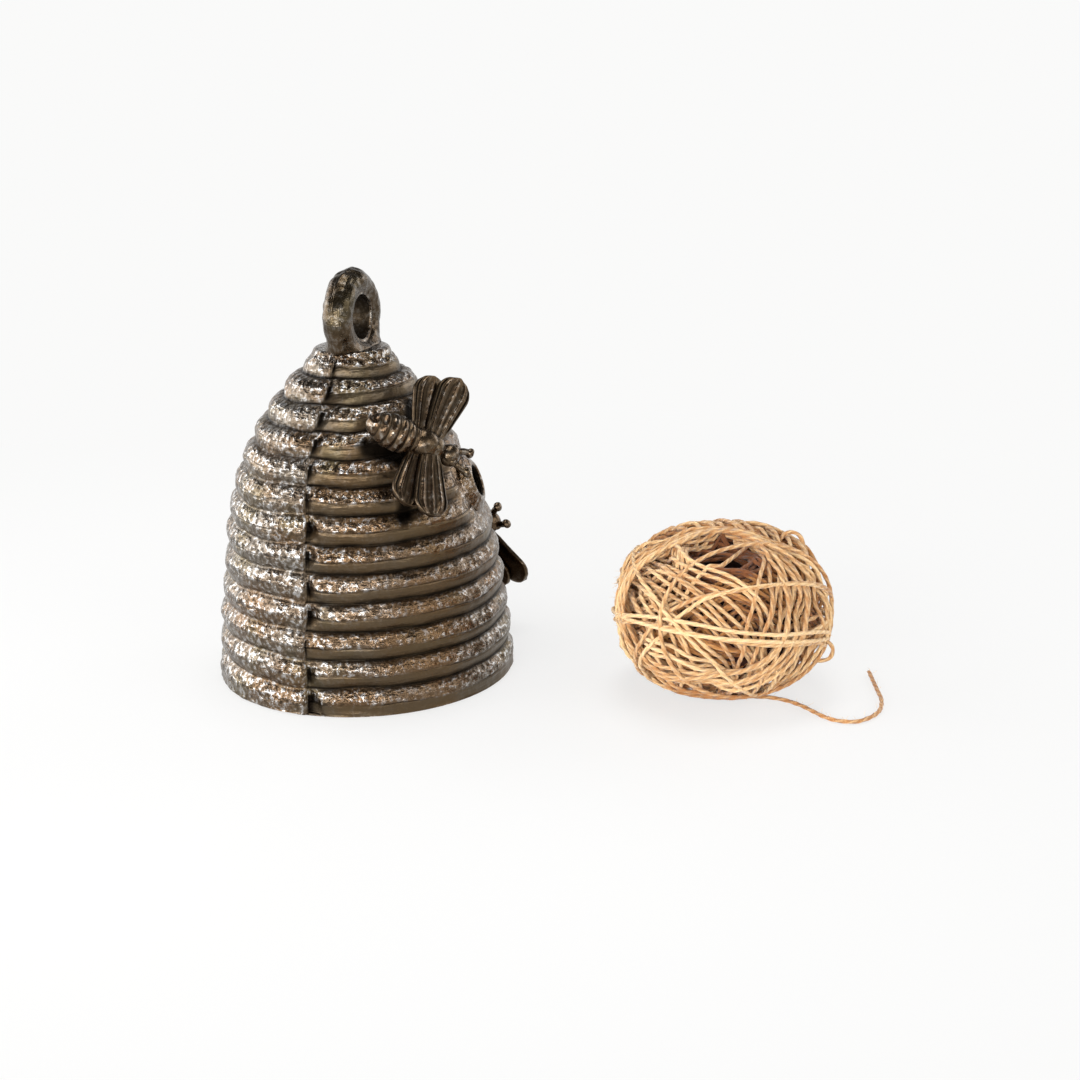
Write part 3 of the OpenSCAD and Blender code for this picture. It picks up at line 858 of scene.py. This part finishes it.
# %% [markdown]
# The skin of the hive goes once round a closed section: up the outside over the rings, across the crown,
# and down the inside to the foot rim. All rows share the same columns, and two columns lie close together
# at each seam, where the step is. Round the string outlet the rings fade into a plain boss, and the upper
# part leans 2 mm to one side, as the real casting does.

# %% Hive casting
HALF_COLUMNS, SEAM_GAP = 152, 0.002
OUTLET_ANGLE, OUTLET_RUN, BOSS_R, BOSS_FADE, BOSS_SINK = 12, 73.0, 22.0, 9.0, 2.0
CREASE, CREASE_WIDE, CREASE_DEEP = 0.42, 0.035, 0.3
NOTCH_WIDE, NOTCH_DEEP, LIP_WIDE, LIP_HIGH = 4.4, 2.1, 2.0, 0.6
SKEW, SKEW_AT_CROWN = 2.0, 0.4
LOWEST_RING = 0.5
PAD_ROUND, PAD_INNER = 1.6, 7
FOOT_RIM = [[48.6, 0.4], [49.1, 0.0], [53.6, 0.0], [54.3, 0.2]]
RING_STEPS = np.concatenate(
    [np.linspace(0, 0.36, 6, False), np.linspace(0.36, 0.48, 5, False), np.linspace(0.48, 1, 8, False)]
)


def seams(angle, back, radius, spot):
    """A bell-shaped notch on one side of each seam, a lip on its other side, and how uneven they are."""
    to_left, to_right = radius * np.abs(angle - np.pi), radius * np.abs(TAU - angle)
    uneven = np.clip(1 + 0.35 * lumps(spot, 16, 6), 0.4, 1.6)
    notch = (1 - back) * bell(to_left, NOTCH_WIDE * uneven) + back * bell(to_right, NOTCH_WIDE * uneven)
    lip = back * bell(to_left, LIP_WIDE) + (1 - back) * bell(to_right, LIP_WIDE)
    return notch, lip, uneven


def rope_rings():
    """The outside: run up the outline by angle, pushed in by the depth of rings, seams and lumps. Each ring
    has a smooth lower part and a rough upper part, with a fine crease between at the share CREASE. The marks
    paint shade into the grooves, along the crease, in the seam notches and under the bees. Returns points,
    marks, grains and the columns' angles."""
    half = np.linspace(SEAM_GAP, np.pi - SEAM_GAP, HALF_COLUMNS)
    angle = np.concatenate([np.pi + half, TAU + half])[None]
    back = (angle > TAU).astype(float)
    run = np.append((np.arange(RING_COUNT)[:, None] + RING_STEPS).ravel(), RING_COUNT)[:, None] * RING_PITCH
    radius, height = outline(run)
    spot = revolved(np.hstack([radius, height]), angle)
    wavy = run + 0.3 * lumps(spot, 40, 1) + 0.15 * lumps(spot, 14, 2)
    share = np.mod(wavy / RING_PITCH, 1)
    depth = ring_depth(wavy)
    depth = np.where(run < RING_PITCH / 2, np.minimum(depth, FOOT_INSET), depth)
    groove = depth / depth.max()
    # Painted shade: the crease is also marked dark along each ring, less on the back half.
    crease = bell(share - CREASE, CREASE_WIDE) * ramp(0.75 + 0.35 * lumps(spot, 22, 7)) * (1 - 0.7 * back)
    top = ramp((height - 70) / 25)
    grain = ramp((share - CREASE + 0.04) / 0.08) * ramp((1 - share) / 0.1)
    grain = np.maximum(grain * (1 + 0.25 * top * (1 - back)), 0.1 + 0.6 * back)
    off = np.linalg.norm(spot - on_wall(OUTLET_ANGLE, OUTLET_RUN)[1], axis=-1)
    boss = smooth((BOSS_R - off) / BOSS_FADE)
    depth, groove = depth * (1 - boss) + BOSS_SINK * boss, groove * (1 - boss)
    grain, crest = np.maximum(grain, boss), (1 - groove) * (1 - boss)
    notch, lip, uneven = seams(angle, back, radius, spot)
    # Painted shade in the seam notches, on the ring crests.
    painted_notch_shade = notch**2 * (0.4 + 0.6 * (share < 0.7)) * crest**0.3
    # The painted groove shade is lighter on the back half below the top; the painted crease, notch and bee
    # shadows join it.
    groove = groove * (1 - 0.35 * back * (1 - top))
    groove = np.max([groove, 0.85 * crease, painted_notch_shade, bee_shade(spot)], axis=0)
    depth = depth + (NOTCH_DEEP * notch * uneven - LIP_HIGH * lip) * crest + CREASE_DEEP * crease
    sand = 0.16 * lumps(spot, 11, 3) + 0.1 * lumps(spot, 4.5, 4) + 0.06 * lumps(spot, 2.6, 5)
    r, z = outline(run, depth + sand * (0.3 + 0.7 * grain))
    lean = SKEW * ramp((height - 45) / 40) * (1 - (1 - SKEW_AT_CROWN) * ramp((height - 95) / 26))
    x = r * np.cos(angle) - SEAM_SHIFT * back - TO_RIGHT[0] * lean
    y = r * np.sin(angle) - TO_RIGHT[1] * lean
    points = np.stack([x, y, np.maximum(z, LOWEST_RING)], axis=-1)
    keep = (outline(run[:, 0], ring_depth(run[:, 0]))[0] > PAD_R) | (run[:, 0] < TOP_RUN / 2)
    return points[keep], groove[keep], grain[keep], angle


def hive_casting():
    """The closed section: the rope rings, the pad under the loop, and the inside down to the foot rim."""
    outside, marks, grains, angle = rope_rings()
    edge = np.radians(np.linspace(15, 90, 5))
    pad = [PAD_R - PAD_ROUND * (1 - np.cos(edge)), CROWN_Z - PAD_ROUND * (1 - np.sin(edge))]
    pad = np.vstack([np.stack(pad, axis=1), [[PAD_INNER, CROWN_Z], [0, CROWN_Z]]])
    pad = revolved(pad, angle) - SKEW_AT_CROWN * SKEW * TO_RIGHT
    inner = np.stack(outline(np.linspace(TOP_RUN, 0, 34), WALL), axis=1)
    inner = revolved(np.vstack([[[0, inner[0, 1]]], inner[:-1], FOOT_RIM]), angle)
    grid = np.concatenate([outside, pad, inner])
    mark = np.concatenate([marks, np.zeros(pad.shape[:2]), np.full(inner.shape[:2], 0.5)])
    grain = np.concatenate([grains, np.ones(pad.shape[:2]), np.ones(inner.shape[:2])])
    step = np.linalg.norm(np.diff(grid[:, 0], axis=0, append=grid[:1, 0]), axis=1)
    u = np.linspace(0, TAU * FOOT_R, angle.size + 1)
    v = np.concatenate([[0], np.cumsum(step)])
    return grid, np.stack(np.meshgrid(u, v), axis=-1), mark, grain


hive = one_skin("hive_casting", hive_iron, "hive", "hive_iron", *hive_casting(), ring_rows=True)
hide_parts("hive_shell")

# %% [markdown]
# The string comes out through a collared hole at the front. A drill of the right size, taken away with a
# Boolean, opens the wall, and the collar is a low rounded section turned round the hole's axis, whose outer
# edge is bent to the wall and sinks into it.

# %% String outlet
DRILL_R, DRILL_FROM, DRILL_TO = 6.6, -14, 8
COLLAR = [
    [5.5, -7.2], [5.5, -1.6], [5.7, -1.0], [6.1, -0.6], [6.7, -0.5], [7.5, -0.7], [8.5, -1.1], [9.6, -1.6],
    [10.8, -2.2], [11.0, -3.0], [9.0, -4.0], [7.4, -4.6], [6.9, -7.2],
]  # fmt: skip
# Painted shade: the three rows inside the hole are marked almost fully dark.
COLLAR_HOLE_SHADE = np.array([0.95] * 3 + [0.0] * 10)[:, None]
WALL_BEND, EDGE_SINK = 42.0, 0.5

axes, place = on_wall(OUTLET_ANGLE, OUTLET_RUN)
drill_rows = [[0, DRILL_FROM], [DRILL_R, DRILL_FROM], [DRILL_R, DRILL_TO], [0, DRILL_TO]]
drill_grid = revolved(drill_rows, full_turn(48))
drill = one_skin("outlet_drill", hive_iron, "hive", "hive_iron", drill_grid @ axes.T + place)
cut = hive.modifiers.new("outlet", "BOOLEAN")
cut.object, cut.operation, cut.solver = drill, "DIFFERENCE", "EXACT"
bpy.context.view_layer.objects.active = hive
bpy.ops.object.modifier_apply(modifier=cut.name)
bpy.data.objects.remove(drill)
collar_grid = revolved(COLLAR, full_turn(64))
outwards = ramp((np.linalg.norm(collar_grid[..., :2], axis=-1) - 6.5) / 4.0)
collar_grid[..., 2] -= outwards * (collar_grid[..., 1] ** 2 / (2 * WALL_BEND) + EDGE_SINK)
collar_grid = collar_grid * (1 + 0.012 * lumps(collar_grid, 5, 11)[..., None] * np.array([1, 1, 0]))
collar_grid = collar_grid @ axes.T + place
one_skin("outlet_collar", hive_iron, "hive", "hive_iron", collar_grid, mark=COLLAR_HOLE_SHADE, ring_rows=True)

# %% [markdown]
# The loop on top is a thick ring with a drilled eye. It grew out of the crown in the mould, so it swells
# where it meets it, and the mould's parting line runs round its rim as a thin ridge. The drill left a flat
# land inside the eye, painted darker as painted shade, with an edge that catches the light.

# %% Hanging loop
LOOP_R, LOOP_SECTION, EYE_R, LOOP_RISE = 12.0, 5.2, 7.8, 10.6
LOOP_TURNS, SECTION_RUN, RIDGE = 132, 30, 0.3
EYE_EDGE = np.array([[8.2, 3.95], [7.95, 3.85], [7.82, 3.65], [EYE_R, 3.3], [EYE_R, 1.7]])


def loop_section():
    """Radius and side of the section: an arc round the outside, then the edge and the land of the eye."""
    arc = np.radians(np.linspace(-128, 128, 46))
    radius, side = LOOP_R + (LOOP_SECTION + RIDGE * bell(arc, 0.08)) * np.cos(arc), LOOP_SECTION * np.sin(arc)
    land = np.vstack([EYE_EDGE, [[EYE_R, 0]], EYE_EDGE[::-1] * [1, -1]])
    return np.concatenate([radius, land[:, 0]]), np.concatenate([side, land[:, 1]])


def hanging_loop():
    """The section turned round the Y axis, wider near the crown, with lumps on all but the land."""
    turn = full_turn(LOOP_TURNS)[:, None]
    radius, side = (v[None] + 0 * turn for v in loop_section())
    grid = np.stack([radius * np.sin(turn), side, CROWN_Z + LOOP_RISE - radius * np.cos(turn)], axis=-1)
    near = ramp(1 - (grid[..., 2] - CROWN_Z) / 5.0) ** 2
    grid[..., 1] *= 1 + 0.35 * near
    grid[..., 0] *= 1 + 0.06 * near
    away = np.stack([(radius - LOOP_R) * np.sin(turn), side, -(radius - LOOP_R) * np.cos(turn)], axis=-1)
    rough = 0.16 * lumps(grid, 9, 21) + 0.08 * lumps(grid, 3.5, 22)
    grid = grid + (rough * ramp((radius - EYE_R) / 1.5))[..., None] * unit(away)
    u = np.linspace(0, TAU * LOOP_R, LOOP_TURNS + 1)
    v = np.linspace(0, SECTION_RUN, radius.shape[1] + 1)
    uv = np.stack(np.meshgrid(u, v, indexing="ij"), axis=-1)
    grain = 0.5 + 1.5 * bell(radius - EYE_R - 0.2, 0.25) * (np.abs(side) > 3.4)
    # Painted shade: the land's mark darkens the inside of the eye.
    return grid, uv, 0.75 * (radius < EYE_R + 0.01), grain


loop = one_skin("crown_loop", loop_iron, "hive", "hive_iron", *hanging_loop(), ring_rows=True)
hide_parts("hanging_loop")

# %% [markdown]
# Each bee is a small casting: a ridged abdomen, a humped thorax, a head with bulging eyes, two knobbed
# feelers, and four paddle wings with a raised rim and ribs. They are modelled once, heading along X, and
# set on the wall twice.

# %% Bees
BEE_RISE, SEAT = 6.3, 2.4
ABDOMEN_R, ABDOMEN_RUN, RIDGES, STING = 6.5, 20, 6, 0.93
FEELER_RUN, FEELER_ROOT, KNOB = 8.4, 11.6, 0.7
WING_TIP, WING_WIDE, WING_ROOT, WING_THICK, RIBS = 6.2, 6.4, 2.8, 1.1, 3.6
# Length, root, sweep in degrees and height of the front and the back wing
WINGS = ((25, 2.8, 80, 1.1), (23, -0.6, 93, -1.1))
# Middle and radii of the rear and front of the thorax and of the head
BODY = [((0.6, 0, 0.2), (6.0, 5.6, 5.6)), ((4.2, 0, 0.1), (4.6, 4.9, 4.7)), ((11.2, 0, 0), (3.7, 4.1, 3.9))]


def barrel(stations, radii, columns=40):
    """Rings round the X axis: radii at stations along it."""
    angle = full_turn(columns)
    ring = np.stack([0 * angle, np.cos(angle), np.sin(angle)], axis=-1)
    return stations[:, None, None] * np.array([1.0, 0, 0]) + radii[:, None, None] * ring


def abdomen():
    """A spindle with ridges: the radius of a long egg, with rounded steps along it. Returns points, marks
    that paint shade between the ridges, and grains on them."""
    t = np.linspace(0, 1, 91)
    egg = ABDOMEN_R * np.sqrt(ramp(np.sin(np.radians(24 + 156 * t))))
    ridges = np.abs(np.sin(RIDGES * np.pi * t + 0.3))
    radii = egg * np.where(t < STING, 1 - 0.11 * (1 - ridges) ** 1.5, 1)
    radii[[0, -1]] = 0
    wave = np.where(t < STING, ridges, 0.8)[:, None]
    return barrel(-1.5 - ABDOMEN_RUN * t, radii), (1 - wave) ** 2, 0.35 + 0.75 * wave**3


def ball(centre, radii, rows=28, columns=36):
    """An ellipsoid with its poles on the X axis."""
    a = np.linspace(0, np.pi, rows)
    return np.array(centre) + barrel(-np.cos(a), np.sin(a), columns) * np.asarray(radii)


def feeler(side):
    """A tapered tube that leaves the head forwards and outwards, droops and ends in a knob."""
    t = np.linspace(0, 1, 30)
    radii = np.where(t < KNOB, 1.4 - 0.25 * t, 1.22 + 0.65 * np.sin(np.pi * (t - KNOB) / (1 - KNOB)))
    radii[[0, -1]] = 0
    grid = barrel(FEELER_RUN * t, radii, 16)
    grid[..., 1] += side * (1.2 + 2.6 * t + 0.6 * np.sin(np.pi * t))[:, None]
    grid[..., 2] += (0.6 * np.sin(np.pi * t))[:, None]
    return grid + np.array([FEELER_ROOT, 0, 0])


def wing_width(x, length):
    """Half the width of a wing: a round root, a body that widens along it and a round tip."""
    reach = length - WING_TIP
    body = WING_ROOT + (WING_WIDE - WING_ROOT) * ramp(x / reach) ** 0.7
    w = np.where(x < reach, body, WING_WIDE * np.sqrt(ramp(1 - ((x - reach) / WING_TIP) ** 2)))
    return np.where(x < 0, WING_ROOT * np.sqrt(ramp(1 - (x / WING_ROOT) ** 2)), w)


def wing(length, root, sweep, lap, side):
    """A paddle whose section is a flat oval, and on top a raised rim and ribs that fan out with the width.
    Returns points, marks that paint shade between the ribs, and grains on them."""
    t = np.linspace(0, 1, 49)
    x = -WING_ROOT + (length + WING_ROOT) * (1 - np.cos(np.pi * t)) / 2
    angle = full_turn(64)
    across = np.clip(np.cos(angle)[None] * np.abs(np.cos(angle)[None]) ** -0.35, -1, 1)
    up = np.sin(angle)[None]
    wave = np.cos(across * RIBS * np.pi)
    relief = 0.42 * wave * (1 - across**4) + 0.5 * bell(np.abs(across) - 0.86, 0.1)
    near_tip = ramp((length - x) / 3.0)[:, None] * ramp((x - 1) / 5.0)[:, None]
    z = np.abs(up) ** 0.55 * np.sign(up) * WING_THICK + np.where(up > 0, relief * near_tip, 0)
    z = z + 0.004 * np.clip(x, 0, None)[:, None] ** 2 + WING_THICK
    along, wide = x[:, None] + 0 * across, wing_width(x, length)[:, None] * across
    a = np.radians(sweep)
    grid = [along * np.cos(a) - wide * np.sin(a) + root, along * np.sin(a) + wide * np.cos(a) + 1.9, z + lap]
    mark = np.where(up > 0, ramp(-wave) * near_tip, 0)
    worn = np.where(up > 0, ramp(wave) ** 2 * near_tip, 0)
    return np.stack(grid, axis=-1) * np.array([1, side, 1]), mark, 0.35 + 0.75 * worn


def bee(name, angle, run, heading, node):
    """One bee, set on the wall at an angle round the hive, a run up it and a heading."""
    skin = Skin()
    lift = np.array([0, 0, BEE_RISE])
    axes, place = bee_axes(angle, run, heading)

    def put(grid, mark=0.0, grain=0.5, rise=True, seed=0):
        """Adds a grid in the bee's axes, with small lumps on it."""
        grid = grid + lift * rise
        grid = grid + 0.06 * unit(grid - lift) * lumps(grid, 2.5, 31 + seed)[..., None]
        skin.add(grid @ axes.T + place, mark=mark, grain=grain)

    put(*abdomen())
    for seed, (centre, radii) in enumerate(BODY, 1):
        put(ball(centre, radii), seed=seed)
    for side in (-1, 1):
        put(ball((12.2, side * 2.7, 0.9), (1.7, 1.5, 2.0), 16, 20), seed=4)
        put(feeler(side))
        for shape in WINGS:
            put(*wing(*shape, side))
    put(revolved([[0, -SEAT], [3.4, -SEAT], [3.4, 0.5], [3.9, 3.0], [0, 4.0]], full_turn(32)), rise=False)
    piece = skin.build(name, bee_iron, "hive", "bee_iron")
    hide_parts(node)


bee("bee_casting_upper", *UPPER_BEE, "upper_bee")
bee("bee_casting_lower", *LOWER_BEE, "lower_bee")

# %% [markdown]
# The screws and washers that hold the bees from inside keep their CAD shapes, which are right, and get
# dull steel with a little brown in it.

# %% Fixings


def steel(bench):
    """Draws dull steel: grey, browner in patches, with fine scratches in the gloss."""
    place = bench.place()
    patches = bench.noise(place, 500.0, 3.0)
    scratches = bench.noise(bench.stretched(place, (4000.0, 300.0, 300.0)), 1.0)
    colour = bench.mix(patches.fade(0.45, 0.7), (0.42, 0.41, 0.39, 1), (0.2, 0.13, 0.08, 1))
    return {"Base Color": colour, "Roughness": 0.3 + scratches * 0.3, "Normal": bench.bump(scratches, 0.0001)}


FIXINGS = ("bee_screws", "bee_washers")
dull_steel = finished("dull_steel", steel, Metallic=1.0)
for node in FIXINGS:
    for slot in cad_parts[node].material_slots:
        slot.material = dull_steel
print("steel on", FIXINGS)

# %% [markdown]
# The photograph is a bright studio with a white table and backdrop. For the camera and in mirrors the table
# is as white as the backdrop far away, so that no horizon shows, but near the object it keeps its shadows.

# %% Table
BACKDROP = (0.955, 0.955, 0.95)
GLOW_NEAR, WHITE_FROM, WHITE_AT = 0.7, 0.12, 0.42
TABLE_HALF = 80


def table_white(bench):
    """White table whose far parts are as white as the backdrop for the camera and in mirrors."""
    place = bench.place()
    grey = bench.mix(bench.noise(place, 3.0), (0.86, 0.86, 0.855, 1), (0.875, 0.875, 0.87, 1))
    near = bench.node("ShaderNodeBsdfPrincipled", sockets={"Base Color": grey, "Roughness": 0.6})[0]
    far = bench.node("ShaderNodeEmission", sockets={"Color": opaque(BACKDROP)})[0]
    path = bench.node("ShaderNodeLightPath")
    seen = path[0].maths("MAXIMUM", path[0], path[0].maths("MAXIMUM", path[3], path[6]))
    away = bench.node("ShaderNodeVectorMath", {"operation": "LENGTH"}, [place])[1]
    share = (GLOW_NEAR + (1 - GLOW_NEAR) * away.fade(WHITE_FROM, WHITE_AT)) * seen
    return bench.node("ShaderNodeMixShader", sockets=[share, near, far])[0]


def stage_sheet(name, corners, material):
    """A flat sheet of the studio through four corners in metres."""
    mesh = bpy.data.meshes.new(name)
    mesh.from_pydata(corners, [], [[0, 1, 2, 3]])
    mesh.materials.append(material)
    sheet = placed(name, mesh)
    return sheet


table_corners = [[TABLE_HALF * x, TABLE_HALF * y, 0] for x, y in ((-1, -1), (1, -1), (1, 1), (-1, 1))]
stage_sheet("table_top", table_corners, material_of("table_white", table_white))
print("table", 2 * TABLE_HALF, "m across")

# %% [markdown]
# Iron needs something dark to mirror as well. A low dark card stands across the front of the table, below the
# lens: the rings show it as the dark line under their highlights. The camera doesn't see the card.

# %% Dark card
CARD_AWAY, CARD_HALF, CARD_HIGH = 0.6, 0.6, 0.13


def card_felt(bench):
    """Draws black felt: dark grey with a little nap."""
    nap = bench.noise(bench.place(), 400.0)
    return {"Base Color": bench.mix(nap, (0.01, 0.01, 0.01, 1), (0.03, 0.03, 0.03, 1))}


to_lens = unit(EYE[:2])
card_side = np.array([-to_lens[1], to_lens[0]])
ends = [(CARD_AWAY * to_lens + side * CARD_HALF * card_side).tolist() for side in (-1, 1)]
rows = [[*ends[0], 0.0], [*ends[1], 0.0], [*ends[1], CARD_HIGH], [*ends[0], CARD_HIGH]]
card = stage_sheet("dark_card", rows, finished("card_felt", card_felt, Roughness=1.0))
card.visible_camera = False
card.visible_shadow = False
print("card", np.round(ends, 2).tolist())

# %% [markdown]
# Glossy iron mirrors its lights: the front one lights the middle of each ring, the one above draws a thin
# line along its upper edge, and the band between mirrors the darker ceiling. A big one on the left whitens
# that half, and weak ones on the right and behind draw the edges.

# %% Lights and world
LIT_POINT = [0, -0.05, 0.06]
CEILING = (0.13, 0.13, 0.135)


def soft_light(name, at, wide, high, level):
    """A rectangular lamp at a place in metres, facing the object, as bright as level times white."""
    lamp = bpy.data.lights.new(name, "AREA")
    lamp.shape, lamp.size, lamp.size_y = "RECTANGLE", wide, high
    lamp.energy = level * np.pi * wide * high
    light = placed(name, lamp)
    back = unit(np.array(at) - LIT_POINT)
    aimed(light, unit(np.cross([0.01, 0.02, 1.0], back)), back, at)
    light.visible_camera = False


soft_light("front_light", (-1.158, -0.06, 0.36), 1.35, 0.36, 9.0)
soft_light("left_light", (-0.27, 1.17, 0.42), 2.0, 0.8, 3.9)
soft_light("right_light", (-0.35, -1.2, 0.5), 1.0, 0.6, 2.0)
soft_light("rim_light", (0.95, -0.75, 0.45), 0.8, 0.6, 2.2)
soft_light("top_light", (0.1, -0.05, 1.25), 0.4, 0.8, 6.0)
world = bpy.data.worlds.new("studio")
world.use_nodes = True
bpy.context.scene.world = world
sky = Bench(world.node_tree)
height = sky.parts(sky.node("ShaderNodeTexCoord")[0])[2]
colour = sky.mix(height.fade(0.2, 0.65), opaque(BACKDROP), opaque(CEILING))
sky.node("ShaderNodeOutputWorld", sockets=[sky.node("ShaderNodeBackground", sockets=[colour, 1.0])[0]])
bpy.context.scene.view_settings.view_transform = "Standard"
